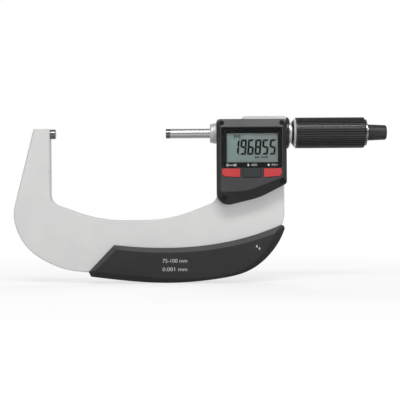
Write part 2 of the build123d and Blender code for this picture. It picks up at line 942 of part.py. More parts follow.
knob_bore = pawl_radius + press_fit
with BuildPart() as ratchet_knob:
    with BuildSketch(Plane.XZ):
        Polygon(
            (knob_x, knob_bore),
            (knob_x, knob_base_radius),
            (knob_end - knob_rounding, knob_end_radius),
            (knob_end, knob_end_radius - knob_rounding),
            (knob_end, stem_head_radius + cover_gap),
            (web_end, stem_head_radius + cover_gap),
            (web_end, stem_pin_radius + running_fit),
            (web_x, stem_pin_radius + running_fit),
            (web_x, knob_bore),
            align=None,
        )
    revolve(axis=Axis.X)
    with BuildSketch(Plane.YZ.offset(knob_x + knob_collar_length)):
        with PolarLocations(knob_base_radius, knob_flute_count):
            Circle(knob_flute_radius)
    extrude(amount=knob_length, mode=Mode.SUBTRACT)
ratchet_knob.part.label = "ratchet_knob"
export_step(ratchet_knob.part, "parts/ratchet_knob.step")

with BuildPart() as ratchet_pawl:
    with BuildSketch(Plane.XZ):
        Polygon(
            *band(pawl_x, spring_x, stem_pin_radius + running_fit, pawl_radius),
            align=None,
        )
    revolve(axis=Axis.X)
    with BuildSketch(Plane.YZ.offset(pawl_x)):
        with PolarLocations(pawl_radius - pawl_notch_length / 2, pawl_tooth_count):
            Rectangle(pawl_notch_length, pawl_notch_width)
    extrude(amount=pawl_notch_depth, mode=Mode.SUBTRACT)
ratchet_pawl.part.label = "ratchet_pawl"
export_step(ratchet_pawl.part, "parts/ratchet_pawl.step")

coil_start = spring_x + spring_wire_radius + coil_gap
coil_height = spring_length - 2 * (spring_wire_radius + coil_gap)
with BuildPart() as ratchet_spring:
    with BuildLine():
        coil = Helix(
            pitch=spring_pitch,
            height=coil_height,
            radius=spring_radius,
            center=(coil_start, 0, 0),
            direction=(1, 0, 0),
        )
    with BuildSketch(Plane(origin=coil @ 0, z_dir=coil % 0)):
        Circle(spring_wire_radius)
    sweep(path=coil, is_frenet=True)
ratchet_spring.part.label = "ratchet_spring"
export_step(ratchet_spring.part, "parts/ratchet_spring.step")

with BuildPart() as ratchet_cap:
    with BuildSketch(Plane.YZ.offset(knob_end - knob_cap_length)):
        Circle(stem_head_radius + cover_gap - press_fit)
    extrude(amount=knob_cap_length)
ratchet_cap.part.label = "ratchet_cap"
export_step(ratchet_cap.part, "parts/ratchet_cap.step")

# Display housing, rear half: tray on the column below the frame's raised block
with BuildPart() as housing_rear_shell:
    with BuildSketch(at_depth(housing_back)):
        add(housing_face(0))
    extrude(amount=housing_shell_depth - housing_back)
    with BuildSketch(at_depth(housing_back + shell_wall)):
        add(housing_face(housing_wall))
        with Locations(*cover_screw_places):
            Circle(screw_boss_radius, mode=Mode.SUBTRACT)
    extrude(amount=housing_shell_depth, mode=Mode.SUBTRACT)
    with BuildSketch(at_depth(housing_back)):
        with Locations(((head_x + head_end) / 2, -block_foot)):
            Rectangle(2 * head_length, 2 * head_radius, align=(Align.CENTER, Align.MIN))
    extrude(amount=housing_shell_depth, mode=Mode.SUBTRACT)
    with BuildSketch(at_depth(housing_back + shell_wall)):
        with Locations(*board_screw_places):
            Circle(standoff_radius)
    extrude(amount=board_depth - housing_back - shell_wall)
    with BuildSketch(at_depth(housing_back)):
        with Locations(*lower_screw_places):
            Circle(cover_screw_radius + running_fit)
    extrude(amount=housing_shell_depth, mode=Mode.SUBTRACT)
    with BuildSketch(at_depth(board_depth)):
        with Locations(*board_screw_places):
            Circle(board_screw_radius + press_fit)
    extrude(amount=-board_screw_hole_depth, mode=Mode.SUBTRACT)
    with BuildSketch(at_depth(housing_back)):
        with Locations(battery_place):
            Rectangle(wire_hole_width, wire_hole_height)
    extrude(amount=shell_wall, mode=Mode.SUBTRACT)
housing_rear_shell.part.label = "housing_rear_shell"
export_step(housing_rear_shell.part, "parts/housing_rear_shell.step")

with BuildPart() as housing_gasket:
    with BuildSketch(at_depth(housing_shell_depth)):
        add(housing_face(gasket_inset + press_fit))
        add(housing_face(gasket_inset + gasket_width - press_fit), mode=Mode.SUBTRACT)
    extrude(amount=gasket_height)
housing_gasket.part.label = "housing_gasket"
export_step(housing_gasket.part, "parts/housing_gasket.step")

# Display housing, front half: bevelled cover with the window's recess and three button holes
button_lefts = [
    housing_left + button_first + sum(button_widths[:n]) + n * button_spacing for n in range(3)
]
button_centres = [left + width / 2 for left, width in zip(button_lefts, button_widths)]
button_middle = -button_top - button_height / 2
window_top = housing_top - plateau_top_inset - window_margin
window_left = housing_left + plateau_left_inset + window_margin
window_right = housing_right - plateau_right_inset - window_margin
window_width = window_right - window_left
window_centre = ((window_left + window_right) / 2, window_top - window_drop / 2)
window_recess = window_thickness + mask_thickness
hollow_start = housing_rim_depth - rim_overlap
lcd_centre = (housing_left + lcd_left + lcd_width / 2, -lcd_top - lcd_height / 2)


def button_outline(index, growth):
    """Cap outline of one button, grown by an even distance; the outer caps have a rounder corner."""
    left = button_lefts[index]
    right = left + button_widths[index]
    low = -button_top - button_height
    corners = (
        button_corner,
        button_outer_corner if index == 2 else button_corner,
        button_outer_corner if index == 0 else button_corner,
        button_corner,
    )
    with BuildSketch() as outline:
        with BuildLine():
            FilletPolyline(
                (right, -button_top),
                (right, low + button_outer_rise if index == 2 else low),
                (left, low + button_outer_rise if index == 0 else low),
                (left, -button_top),
                radius=corners,
                close=True,
            )
        make_face()
        if growth:
            offset(amount=growth)
    return outline.sketch


with BuildPart() as housing_front_cover:
    with BuildSketch(at_depth(housing_shell_depth)):
        add(housing_face(0))
    extrude(amount=housing_rim_depth - housing_shell_depth)
    with BuildSketch(at_depth(housing_rim_depth)):
        add(housing_face(0))
    with BuildSketch(at_depth(housing_face_depth)):
        add(plateau_face(0))
    loft(ruled=True)
    with BuildSketch(at_depth(housing_shell_depth)):
        add(housing_face(housing_wall))
        with Locations(*cover_screw_places):
            Circle(screw_boss_radius, mode=Mode.SUBTRACT)
    extrude(amount=hollow_start - housing_shell_depth, mode=Mode.SUBTRACT)
    with BuildSketch(at_depth(hollow_start)):
        add(plateau_face(face_hollow_inset))
        with Locations(*cover_screw_places):
            Circle(screw_boss_radius, mode=Mode.SUBTRACT)
    extrude(amount=housing_inside - hollow_start, mode=Mode.SUBTRACT)
    with BuildSketch(at_depth(hollow_start)):
        with Locations((window_centre[0], button_middle)):
            Rectangle(window_width + 2 * button_flange_gap, button_height + 2 * button_flange)
    extrude(amount=housing_inside - hollow_start, mode=Mode.SUBTRACT)
    with BuildSketch(at_depth(housing_face_depth - window_recess)):
        with Locations(window_centre):
            RectangleRounded(
                window_width + 2 * press_fit, window_drop + 2 * press_fit, window_corner
            )
    extrude(amount=window_recess, mode=Mode.SUBTRACT)
    with BuildSketch(at_depth(housing_inside)):
        with Locations(lcd_centre):
            Rectangle(lcd_width, lcd_height)
    extrude(amount=housing_face_wall, mode=Mode.SUBTRACT)
    for index in range(3):
        with BuildSketch(at_depth(housing_inside)):
            add(button_outline(index, button_side_gap))
        extrude(amount=housing_face_wall, mode=Mode.SUBTRACT)
    with BuildSketch(at_depth(housing_shell_depth)):
        add(housing_face(gasket_inset))
        add(housing_face(gasket_inset + gasket_width), mode=Mode.SUBTRACT)
    extrude(amount=gasket_height, mode=Mode.SUBTRACT)
    with BuildSketch(at_depth(cover_screw_seat_depth)):
        with Locations(*cover_screw_places):
            Circle(cover_screw_head_radius + cover_gap)
    extrude(amount=housing_face_depth, mode=Mode.SUBTRACT)
    with BuildSketch(at_depth(housing_shell_depth)):
        with Locations(*cover_screw_places):
            Circle(cover_screw_radius + running_fit)
    extrude(amount=housing_face_depth, mode=Mode.SUBTRACT)
housing_front_cover.part.label = "housing_front_cover"
export_step(housing_front_cover.part, "parts/housing_front_cover.step")

with BuildPart() as cover_screws:
    with BuildSketch(at_depth(upper_screw_end)):
        with Locations(*upper_screw_places):
            Circle(cover_screw_radius)
    extrude(amount=cover_screw_seat_depth - upper_screw_end)
    with BuildSketch(at_depth(lower_screw_end)):
        with Locations(*lower_screw_places):
            Circle(cover_screw_radius)
    extrude(amount=cover_screw_seat_depth - lower_screw_end)
    with BuildSketch(at_depth(cover_screw_seat_depth)):
        with Locations(*cover_screw_places):
            Circle(cover_screw_head_radius)
    extrude(amount=cover_screw_head_length)
    with BuildSketch(at_depth(cover_screw_seat_depth + cover_screw_head_length)):
        with Locations(*cover_screw_places):
            RegularPolygon(screw_socket_width / 2, 6)
    extrude(amount=-screw_socket_depth, mode=Mode.SUBTRACT)
cover_screws.part.label = "cover_screws"
export_step(cover_screws.part, "parts/cover_screws.step")

# Window with its black mask, LCD glass behind it, strips that join the LCD to the board
with BuildPart() as display_mask:
    with BuildSketch(at_depth(housing_face_depth - window_recess)):
        with Locations(window_centre):
            RectangleRounded(window_width, window_drop, window_corner)
        with Locations(lcd_centre):
            Rectangle(lcd_width, lcd_height, mode=Mode.SUBTRACT)
    extrude(amount=mask_thickness)
display_mask.part.label = "display_mask"
export_step(display_mask.part, "parts/display_mask.step")

with BuildPart() as display_window:
    with BuildSketch(at_depth(housing_face_depth - window_thickness)):
        with Locations(window_centre):
            RectangleRounded(window_width, window_drop, window_corner)
    extrude(amount=window_thickness)
display_window.part.label = "display_window"
export_step(display_window.part, "parts/display_window.step")

with BuildPart() as lcd_panel:
    with BuildSketch(at_depth(housing_inside)):
        with Locations(lcd_centre):
            Rectangle(lcd_width + lcd_glass_margin, lcd_height + lcd_glass_margin)
    extrude(amount=-lcd_glass_thickness)
lcd_panel.part.label = "lcd_panel"
export_step(lcd_panel.part, "parts/lcd_panel.step")

lcd_back = housing_inside - lcd_glass_thickness
board_front = board_depth + board_thickness
with BuildPart() as lcd_strips:
    with BuildSketch(at_depth(board_front)):
        with Locations(lcd_centre):
            with GridLocations(lcd_width, lcd_height - strip_height, 1, 2):
                Rectangle(lcd_width, strip_height)
    extrude(amount=lcd_back - board_front)
lcd_strips.part.label = "lcd_strips"
export_step(lcd_strips.part, "parts/lcd_strips.step")

# Circuit board with its chip and screws
with BuildPart() as circuit_board:
    with BuildSketch(at_depth(board_depth)):
        add(housing_face(housing_wall + board_gap))
        with Locations(*cover_screw_places):
            Circle(screw_boss_radius + board_gap, mode=Mode.SUBTRACT)
        with Locations(*board_screw_places):
            Circle(board_screw_radius + running_fit, mode=Mode.SUBTRACT)
    extrude(amount=board_thickness)
circuit_board.part.label = "circuit_board"
export_step(circuit_board.part, "parts/circuit_board.step")

with BuildPart() as board_chip:
    with BuildSketch(at_depth(board_depth)):
        with Locations((lcd_centre[0] + chip_shift[0], lcd_centre[1] + chip_shift[1])):
            Rectangle(chip_size, chip_size)
    extrude(amount=-chip_height)
board_chip.part.label = "board_chip"
export_step(board_chip.part, "parts/board_chip.step")

with BuildPart() as board_screws:
    with BuildSketch(at_depth(board_depth - board_screw_reach)):
        with Locations(*board_screw_places):
            Circle(board_screw_radius)
    extrude(amount=board_screw_reach + board_thickness)
    with BuildSketch(at_depth(board_front)):
        with Locations(*board_screw_places):
            Circle(board_screw_head_radius)
    extrude(amount=board_screw_head_length)
board_screws.part.label = "board_screws"
export_step(board_screws.part, "parts/board_screws.step")

# Buttons in front of a rubber mat with three domes
flange_front = housing_inside - stack_gap
flange_back = flange_front - button_flange_thickness
with BuildPart() as button_mat:
    with BuildSketch(at_depth(board_front)):
        with Locations((button_centres[1], button_middle)):
            Rectangle(button_centres[2] - button_centres[0] + 2 * mat_margin, button_height)
    extrude(amount=mat_thickness)
    for centre in button_centres:
        with BuildSketch(at_depth(board_front + mat_thickness)):
            with Locations((centre, button_middle)):
                Circle(dome_radius)
        with BuildSketch(at_depth(flange_back - dome_gap)):
            with Locations((centre, button_middle)):
                Circle(dome_tip_radius)
        loft()
button_mat.part.label = "button_mat"
export_step(button_mat.part, "parts/button_mat.step")

for index, name in enumerate(("button_left", "button_centre", "button_right")):
    with BuildPart() as button:
        with BuildSketch(at_depth(flange_front)):
            add(button_outline(index, 0))
        extrude(amount=housing_face_depth + button_proud - flange_front)
        fillet(button.faces().sort_by(Axis.Y)[0].edges(), button_rounding)
        with BuildSketch(at_depth(flange_back)):
            with Locations((button_centres[index], button_middle)):
                Rectangle(
                    button_widths[index] + 2 * button_flange,
                    button_height - 2 * button_flange_inset,
                )
        extrude(amount=button_flange_thickness)
    button.part.label = name
    export_step(button.part, f"parts/{name}.step")

# Grip pads: front and rear, meeting under the beam
with BuildPart() as front_grip_pad:
    with BuildSketch(Plane.XZ):
        add(pad_face())
    extrude(amount=half_frame + pad_edge_thickness)
    with BuildSketch(at_depth(half_frame + pad_edge_thickness)):
        add(pad_face())
    with BuildSketch(at_depth(half_frame + pad_thickness)):
        add(pad_plateau())
    loft(ruled=True)
    with BuildSketch(Plane.XZ):
        add(frame_face())
    extrude(amount=half_frame, mode=Mode.SUBTRACT)
    with BuildSketch(at_depth(half_frame)):
        with Locations(*pad_screw_places):
            Circle(pad_screw_radius + press_fit)
    extrude(amount=pad_screw_hole_depth, mode=Mode.SUBTRACT)
front_grip_pad.part.label = "front_grip_pad"
export_step(front_grip_pad.part, "parts/front_grip_pad.step")

with BuildPart() as rear_grip_pad:
    with BuildSketch(Plane.XZ):
        add(pad_face())
    extrude(amount=-half_frame - pad_edge_thickness)
    with BuildSketch(at_depth(-half_frame - pad_edge_thickness)):
        add(pad_face())
    with BuildSketch(at_depth(-half_frame - pad_thickness)):
        add(pad_plateau())
    loft(ruled=True)
    with BuildSketch(Plane.XZ):
        add(frame_face())
    extrude(amount=-half_frame, mode=Mode.SUBTRACT)
    with BuildSketch(at_depth(-half_frame)):
        with Locations(*pad_screw_places):
            Circle(pad_screw_radius + running_fit)
    extrude(amount=-pad_thickness, mode=Mode.SUBTRACT)
    with BuildSketch(at_depth(-half_frame - pad_thickness)):
        with Locations(*pad_screw_places):
            Circle(pad_screw_head_radius + pad_screw_head_gap)
    extrude(amount=pad_screw_head_length, mode=Mode.SUBTRACT)
rear_grip_pad.part.label = "rear_grip_pad"
export_step(rear_grip_pad.part, "parts/rear_grip_pad.step")

pad_screw_seat = half_frame + pad_thickness - pad_screw_head_length
pad_head_length = pad_screw_head_length - pad_screw_recess
with BuildPart() as grip_pad_screws:
    with BuildSketch(at_depth(half_frame + pad_screw_hold)):
        with Locations(*pad_screw_places):
            Circle(pad_screw_radius)
    extrude(amount=-(half_frame + pad_screw_hold + pad_screw_seat))
    with BuildSketch(at_depth(-pad_screw_seat)):
        with Locations(*pad_screw_places):
            Circle(pad_screw_head_radius)
    extrude(amount=-pad_head_length)
    with BuildSketch(at_depth(-pad_screw_seat - pad_head_length)):
        with Locations(*pad_screw_places):
            RegularPolygon(pad_socket_radius, 6)
    extrude(amount=pad_socket_depth, mode=Mode.SUBTRACT)
grip_pad_screws.part.label = "grip_pad_screws"
export_step(grip_pad_screws.part, "parts/grip_pad_screws.step")

# Battery in its holder in the column, behind a screwed cover with a coin-slot lid
floor_depth = half_frame - holder_floor
battery_front = floor_depth - contact_height
battery_back = battery_front - battery_thickness
lid_front = battery_back - lid_battery_gap
lid_radius = holder_radius - holder_wall - running_fit
with BuildPart() as battery_holder:
    with BuildSketch(at_depth(half_frame)):
        with Locations(battery_place):
            Circle(holder_radius - press_fit)
    extrude(amount=-frame_thickness)
    with BuildSketch(at_depth(floor_depth)):
        with Locations(battery_place):
            Circle(holder_radius - holder_wall)
    extrude(amount=-frame_thickness, mode=Mode.SUBTRACT)
    with BuildSketch(at_depth(half_frame)):
        with Locations(battery_place):
            Rectangle(contact_hole_width, contact_hole_height)
    extrude(amount=-holder_floor, mode=Mode.SUBTRACT)
battery_holder.part.label = "battery_holder"
export_step(battery_holder.part, "parts/battery_holder.step")

with BuildPart() as battery_contacts:
    with BuildSketch(at_depth(floor_depth)):
        with Locations(battery_place):
            Circle(contact_foot_radius)
    extrude(amount=-contact_foot_thickness)
    with BuildSketch(at_depth(floor_depth - contact_foot_thickness)):
        with Locations(battery_place):
            Circle(contact_cone_radius)
    with BuildSketch(at_depth(battery_front)):
        with Locations(battery_place):
            Circle(contact_tip_radius)
    loft()
battery_contacts.part.label = "battery_contacts"
export_step(battery_contacts.part, "parts/battery_contacts.step")

with BuildPart() as battery:
    with BuildSketch(at_depth(battery_front)):
        with Locations(battery_place):
            Circle(battery_radius)
    extrude(amount=-battery_thickness)
battery.part.label = "battery"
export_step(battery.part, "parts/battery.step")

with BuildPart() as rear_cover:
    with BuildSketch(at_depth(-half_frame)):
        with Locations(battery_place):
            RectangleRounded(rear_cover_width, rear_cover_height, rear_cover_corner)
            Circle(lid_radius + running_fit, mode=Mode.SUBTRACT)
            with GridLocations(*rear_screw_spread, 2, 2):
                Circle(rear_screw_radius + running_fit, mode=Mode.SUBTRACT)
    extrude(amount=-rear_cover_thickness)
    chamfer(rear_cover.faces().sort_by(Axis.Y)[-1].outer_wire().edges(), rear_cover_bevel)
rear_cover.part.label = "rear_cover"
export_step(rear_cover.part, "parts/rear_cover.step")

rear_face = half_frame + rear_cover_thickness
with BuildPart() as rear_cover_screws:
    with BuildSketch(at_depth(-half_frame + rear_screw_reach)):
        with Locations(battery_place):
            with GridLocations(*rear_screw_spread, 2, 2):
                Circle(rear_screw_radius)
    extrude(amount=-rear_screw_reach - rear_cover_thickness)
    with BuildSketch(at_depth(-rear_face)):
        with Locations(battery_place):
            with GridLocations(*rear_screw_spread, 2, 2):
                Circle(rear_screw_head_radius)
    extrude(amount=-rear_screw_head_length)
    with BuildSketch(at_depth(-rear_face - rear_screw_head_length)):
        with Locations(battery_place):
            with GridLocations(*rear_screw_spread, 2, 2):
                RegularPolygon(rear_socket_radius, 6)
    extrude(amount=rear_socket_depth, mode=Mode.SUBTRACT)
rear_cover_screws.part.label = "rear_cover_screws"
export_step(rear_cover_screws.part, "parts/rear_cover_screws.step")

lid_back = rear_face + lid_proud
seal_depth = (lid_front - lid_back) / 2 - lid_seal_shift
seal_path_radius = lid_radius - lid_seal_radius - lid_seal_inset
with BuildPart() as battery_lid:
    with BuildSketch(at_depth(lid_front)):
        with Locations(battery_place):
            Circle(lid_radius)
    extrude(amount=-(lid_back + lid_front))
    with BuildSketch(at_depth(seal_depth + lid_seal_radius + lid_groove_gap)):
        with Locations(battery_place):
            Circle(lid_radius)
            Circle(seal_path_radius - lid_seal_radius - running_fit, mode=Mode.SUBTRACT)
    extrude(amount=-2 * (lid_seal_radius + lid_groove_gap), mode=Mode.SUBTRACT)
    with BuildSketch(at_depth(-lid_back)):
        with Locations(battery_place):
            SlotOverall(lid_slot_length, lid_slot_width)
    extrude(amount=lid_slot_depth, mode=Mode.SUBTRACT)
battery_lid.part.label = "battery_lid"
export_step(battery_lid.part, "parts/battery_lid.step")

with BuildPart() as battery_lid_seal:
    with BuildSketch(Plane.XY.offset(-battery_drop)):
        with Locations((battery_place[0] + seal_path_radius, -seal_depth)):
            Circle(lid_seal_radius)
    revolve(axis=Axis((battery_place[0], 0, -battery_drop), (0, 1, 0)))
battery_lid_seal.part.label = "battery_lid_seal"
export_step(battery_lid_seal.part, "parts/battery_lid_seal.step")
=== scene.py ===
import math
import bmesh
import bpy
from mathutils import Matrix, Vector


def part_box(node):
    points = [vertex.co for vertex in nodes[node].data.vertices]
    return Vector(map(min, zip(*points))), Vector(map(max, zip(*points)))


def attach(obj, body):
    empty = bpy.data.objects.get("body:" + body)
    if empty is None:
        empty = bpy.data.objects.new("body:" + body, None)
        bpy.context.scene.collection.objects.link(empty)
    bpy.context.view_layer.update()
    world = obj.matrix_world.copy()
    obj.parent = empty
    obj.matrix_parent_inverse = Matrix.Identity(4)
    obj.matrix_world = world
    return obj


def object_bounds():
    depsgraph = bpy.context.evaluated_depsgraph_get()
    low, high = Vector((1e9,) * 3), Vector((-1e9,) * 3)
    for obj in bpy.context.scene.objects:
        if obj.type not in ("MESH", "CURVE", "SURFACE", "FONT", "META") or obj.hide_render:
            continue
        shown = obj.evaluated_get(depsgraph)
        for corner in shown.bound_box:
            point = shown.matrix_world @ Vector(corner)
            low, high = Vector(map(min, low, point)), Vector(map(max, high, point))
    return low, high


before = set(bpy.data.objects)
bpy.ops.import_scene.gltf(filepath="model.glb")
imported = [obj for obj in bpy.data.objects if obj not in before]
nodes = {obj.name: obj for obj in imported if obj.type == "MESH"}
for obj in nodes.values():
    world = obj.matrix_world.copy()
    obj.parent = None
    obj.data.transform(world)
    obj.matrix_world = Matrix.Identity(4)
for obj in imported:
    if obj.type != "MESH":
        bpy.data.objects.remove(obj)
cadLow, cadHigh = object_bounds()
print("frame loaded:", len(nodes), "nodes")

# ---- camera first: long lens, level, a hair of roll
shot = {
    "aim": (0.0979, -0.0452),  # x and z that the view is centred on
    "distance": 0.70,  # in front of the measuring line
    "width": 0.272,  # metres across the view at the measuring line
    "roll": -0.34,  # degrees
}
camera = bpy.data.objects.new("camera", bpy.data.cameras.new("camera"))
bpy.context.scene.collection.objects.link(camera)
camera.data.sensor_width = 36.0
camera.data.lens = 36.0 * shot["distance"] / shot["width"]
camera.matrix_world = (
    Matrix.Translation((shot["aim"][0], -shot["distance"], shot["aim"][1]))
    @ Matrix.Rotation(math.radians(90), 4, "X")
    @ Matrix.Rotation(math.radians(shot["roll"]), 4, "Z")
)
bpy.context.scene.camera = camera
bpy.context.scene.view_settings.view_transform = "Standard"


# ---- shader maths: a wire is one socket's value, and arithmetic on it adds Math nodes
class Wire:
    def __init__(self, net, socket):
        self.net = net
        self.socket = socket

    def calc(self, operation, *values):
        return self.net.add("ShaderNodeMath", {"operation": operation}, dict(enumerate(values)))

    def __add__(self, other):
        return self.calc("ADD", self, other)

    def __radd__(self, other):
        return self.calc("ADD", other, self)

    def __sub__(self, other):
        return self.calc("SUBTRACT", self, other)

    def __rsub__(self, other):
        return self.calc("SUBTRACT", other, self)

    def __mul__(self, other):
        return self.calc("MULTIPLY", self, other)

    def __rmul__(self, other):
        return self.calc("MULTIPLY", other, self)

    def __truediv__(self, other):
        return self.calc("DIVIDE", self, other)

    def __rtruediv__(self, other):
        return self.calc("DIVIDE", other, self)


class Net:
    def __init__(self, tree):
        self.tree = tree
        tree.nodes.clear()

    def feed(self, socket, value):
        if isinstance(value, Wire):
            self.tree.links.new(value.socket, socket)
        elif socket.type == "RGBA" and len(value) == 3:
            socket.default_value = (*value, 1.0)
        else:
            socket.default_value = value

    def add(self, kind, settings=None, values=None, output=0):
        node = self.tree.nodes.new(kind)
        for name, value in (settings or {}).items():
            if name == "stops":
                self.setStops(node.color_ramp, value)
            else:
                setattr(node, name, value)
        for key, value in (values or {}).items():
            self.feed(node.inputs[key], value)
        return Wire(self, node.outputs[output]) if node.outputs else None

    def setStops(self, ramp, stops):
        while len(ramp.elements) < len(stops):
            ramp.elements.new(0.5)
        for element, (place, colour) in zip(ramp.elements, stops):
            element.position = place
            element.color = (*colour, 1.0) if isinstance(colour, tuple) else (colour, colour, colour, 1.0)

    def place(self, stretch=(1.0, 1.0, 1.0)):  # metres, in the piece's own frame
        here = self.add("ShaderNodeTexCoord", output="Object")
        return self.add("ShaderNodeVectorMath", {"operation": "MULTIPLY"}, {0: here, 1: stretch})

    def split(self, vector, axis):
        return self.add("ShaderNodeSeparateXYZ", None, {0: vector}, axis)

    def noise(self, vector, scale, detail=2.0, roughness=0.5):
        return self.add(
            "ShaderNodeTexNoise",
            None,
            {"Vector": vector, "Scale": scale, "Detail": detail, "Roughness": roughness},
        )

    def blotches(self, vector, scale, low, high):  # noise squeezed between two levels
        return self.add(
            "ShaderNodeMapRange",
            None,
            {"Value": self.noise(vector, scale), 1: 0.35, 2: 0.65, 3: low, 4: high},
        )

    def mix(self, factor, first, second):
        return self.add("ShaderNodeMix", {"data_type": "RGBA"}, {0: factor, 6: first, 7: second}, 2)

    def bump(self, height, distance, strength=1.0, normal=None):
        values = {"Height": height, "Distance": distance, "Strength": strength}
        if normal:
            values["Normal"] = normal
        return self.add("ShaderNodeBump", None, values)

    def ramp(self, value, low, high):  # 0 at the one end, 1 at the other
        return self.add("ShaderNodeMapRange", None, {"Value": value, 1: low, 2: high, 3: 0.0, 4: 1.0})

    def longest(self, vector):
        return self.add("ShaderNodeVectorMath", {"operation": "LENGTH"}, {0: vector}, "Value")

    def either(self, first, second):
        return first.calc("MAXIMUM", first, second)

    def ray(self, kind):
        return self.add("ShaderNodeLightPath", output=kind)

    def normal(self, axis):
        return self.split(self.add("ShaderNodeNewGeometry", output="True Normal"), axis)

    def softEdge(self, radius):
        return self.add("ShaderNodeBevel", {"samples": 4}, {"Radius": radius})

    def surface(self, **values):
        named = {name.replace("_", " "): value for name, value in values.items()}
        return self.add("ShaderNodeBsdfPrincipled", None, named)

    def close(self, shader):
        self.add("ShaderNodeOutputMaterial", None, {"Surface": shader})


def newFinish(name):
    material = bpy.data.materials.new(name)
    material.use_nodes = True
    return material, Net(material.node_tree)


# ---- finishes
def makePaint(name, look):  # sprayed satin enamel with a faint orange peel
    material, net = newFinish(name)
    here = net.place()
    tone = net.blotches(here, 60.0, 0.0, 1.0)
    speck = net.blotches(here, look["grain"], 0.0, 1.0)
    peel = net.noise(here, look["grain"], 3.0)
    colour = net.mix(tone, look["colour"], look["shade"])
    colour = net.mix(speck * 0.06, colour, look["fleck"])
    net.close(
        net.surface(
            Base_Color=colour,
            Metallic=look["metallic"],
            Roughness=look["roughness"] + speck * 0.07,
            Normal=net.bump(peel, look["relief"], 0.5, net.softEdge(look["edge"])),
        )
    )
    return material


def makeTurned(name, look):  # machined metal: fine rings round the measuring line
    material, net = newFinish(name)
    rings = net.noise(net.place((1.0, 0.02, 0.02)), look["rings"], 4.0, 0.7)
    smear = net.blotches(net.place(), 220.0, 0.0, 1.0)
    colour = net.mix(rings, look["colour"], look["shade"])
    net.close(
        net.surface(
            Base_Color=net.mix(smear * 0.12, colour, look["stain"]),
            Metallic=look["metallic"],
            Roughness=look["roughness"] + rings * 0.10 + smear * 0.04,
            Normal=net.bump(rings, look["relief"], 0.6, net.softEdge(look["edge"])),
        )
    )
    return material


def makeMoulded(name, look):  # plastic out of a spark-eroded mould
    material, net = newFinish(name)
    here = net.place()
    grain = net.noise(here, look["grain"], 4.0, 0.6)
    pits = net.blotches(here, look["grain"] * 0.55, 0.0, 1.0)
    tone = net.blotches(here, 90.0, 0.0, 1.0)
    rub = net.blotches(here, 35.0, 0.0, 1.0)
    colour = net.mix(tone, look["colour"], look["shade"])
    colour = net.mix(pits * 0.25, colour, look["fleck"])
    if "face" in look:  # painted light: the flat front, which faces the lamps, made a little lighter
        flat = net.ramp(net.normal(1), -0.97, -0.995)
        colour = net.mix(flat, colour, look["face"])
    if "dustAndPaintedTopLight" in look:  # painted light: bevels that look up made lighter, as if lit from above
        upward = net.ramp(net.normal(2), 0.25, 0.45)
        colour = net.mix(upward * (0.85 + tone * 0.15), colour, look["dustAndPaintedTopLight"])
    if "paintedGrooveShade" in look:  # painted shade: dark between the ribs, by the distance from the measuring line
        crest = net.ramp(net.longest(net.place((0.0, 1.0, 1.0))), look["root"], look["tip"])
        colour = net.mix(crest, look["paintedGrooveShade"], colour)
    net.close(
        net.surface(
            Base_Color=colour,
            Roughness=look["roughness"] + pits * 0.10 - rub * 0.05,
            Normal=net.bump(grain, look["relief"], 0.7, net.softEdge(look["edge"])),
        )
    )
    return material


def makeBoard(name, look):  # solder mask over copper tracks
    material, net = newFinish(name)
    here = net.place()
    tracks = net.add(
        "ShaderNodeTexBrick",
        {"offset": 0.35, "squash": 0.6},
        {"Vector": here, "Scale": look["tracks"], "Mortar Size": 0.03},
        1,
    )
    tone = net.blotches(here, 150.0, 0.0, 1.0)
    colour = net.mix(tone, look["colour"], look["shade"])
    net.close(
        net.surface(
            Base_Color=net.mix(tracks * 0.5, colour, look["fleck"]),
            Roughness=look["roughness"] + tone * 0.1,
            Normal=net.bump(tracks, look["relief"], 0.5, net.softEdge(look["edge"])),
        )
    )
    return material


paintLook = {
    "colour": (0.64, 0.64, 0.63),
    "shade": (0.615, 0.615, 0.61),
    "fleck": (0.76, 0.76, 0.76),
    "metallic": 0.15,
    "roughness": 0.42,
    "grain": 2600.0,
    "relief": 0.00003,
    "edge": 0.0004,
}
groundLook = {
    "colour": (0.62, 0.62, 0.63),
    "shade": (0.74, 0.74, 0.74),
    "stain": (0.50, 0.49, 0.48),
    "metallic": 1.0,
    "roughness": 0.13,
    "rings": 9000.0,
    "relief": 0.000008,
    "edge": 0.00012,
}
carbideLook = dict(
    groundLook, colour=(0.20, 0.20, 0.205), shade=(0.26, 0.26, 0.265), stain=(0.14, 0.14, 0.14),
    roughness=0.12,
)
chromeLook = dict(groundLook, colour=(0.74, 0.74, 0.75), shade=(0.84, 0.84, 0.84), roughness=0.22)
satinLook = dict(
    groundLook, colour=(0.60, 0.60, 0.61), shade=(0.69, 0.69, 0.69), metallic=0.65, roughness=0.50
)
platedLook = dict(
    groundLook, colour=(0.80, 0.80, 0.81), shade=(0.88, 0.88, 0.88), metallic=0.35, roughness=0.36
)
barrelLook = dict(
    groundLook, colour=(0.66, 0.66, 0.67), shade=(0.74, 0.74, 0.74), metallic=0.45, roughness=0.36
)
blackenedLook = dict(
    groundLook, colour=(0.045, 0.045, 0.048), shade=(0.075, 0.075, 0.078), stain=(0.03, 0.03, 0.03),
    roughness=0.32,
)
bronzeLook = dict(
    groundLook, colour=(0.52, 0.36, 0.17), shade=(0.60, 0.44, 0.24), stain=(0.30, 0.20, 0.10),
    roughness=0.30,
)
nickelLook = dict(groundLook, colour=(0.66, 0.66, 0.67), shade=(0.72, 0.72, 0.72), roughness=0.25)
goldLook = dict(
    groundLook, colour=(0.75, 0.55, 0.22), shade=(0.82, 0.64, 0.30), stain=(0.6, 0.42, 0.18), roughness=0.25
)
housingLook = {
    "colour": (0.013, 0.013, 0.014),
    "shade": (0.016, 0.016, 0.017),
    "fleck": (0.028, 0.028, 0.029),
    "roughness": 0.42,
    "grain": 5200.0,
    "relief": 0.00002,
    "edge": 0.0004,
}
# painted light on the front cover: its flat front lighter, its upward bevels lighter still
coverLook = dict(housingLook, face=(0.041, 0.040, 0.043), dustAndPaintedTopLight=(0.104, 0.104, 0.105))
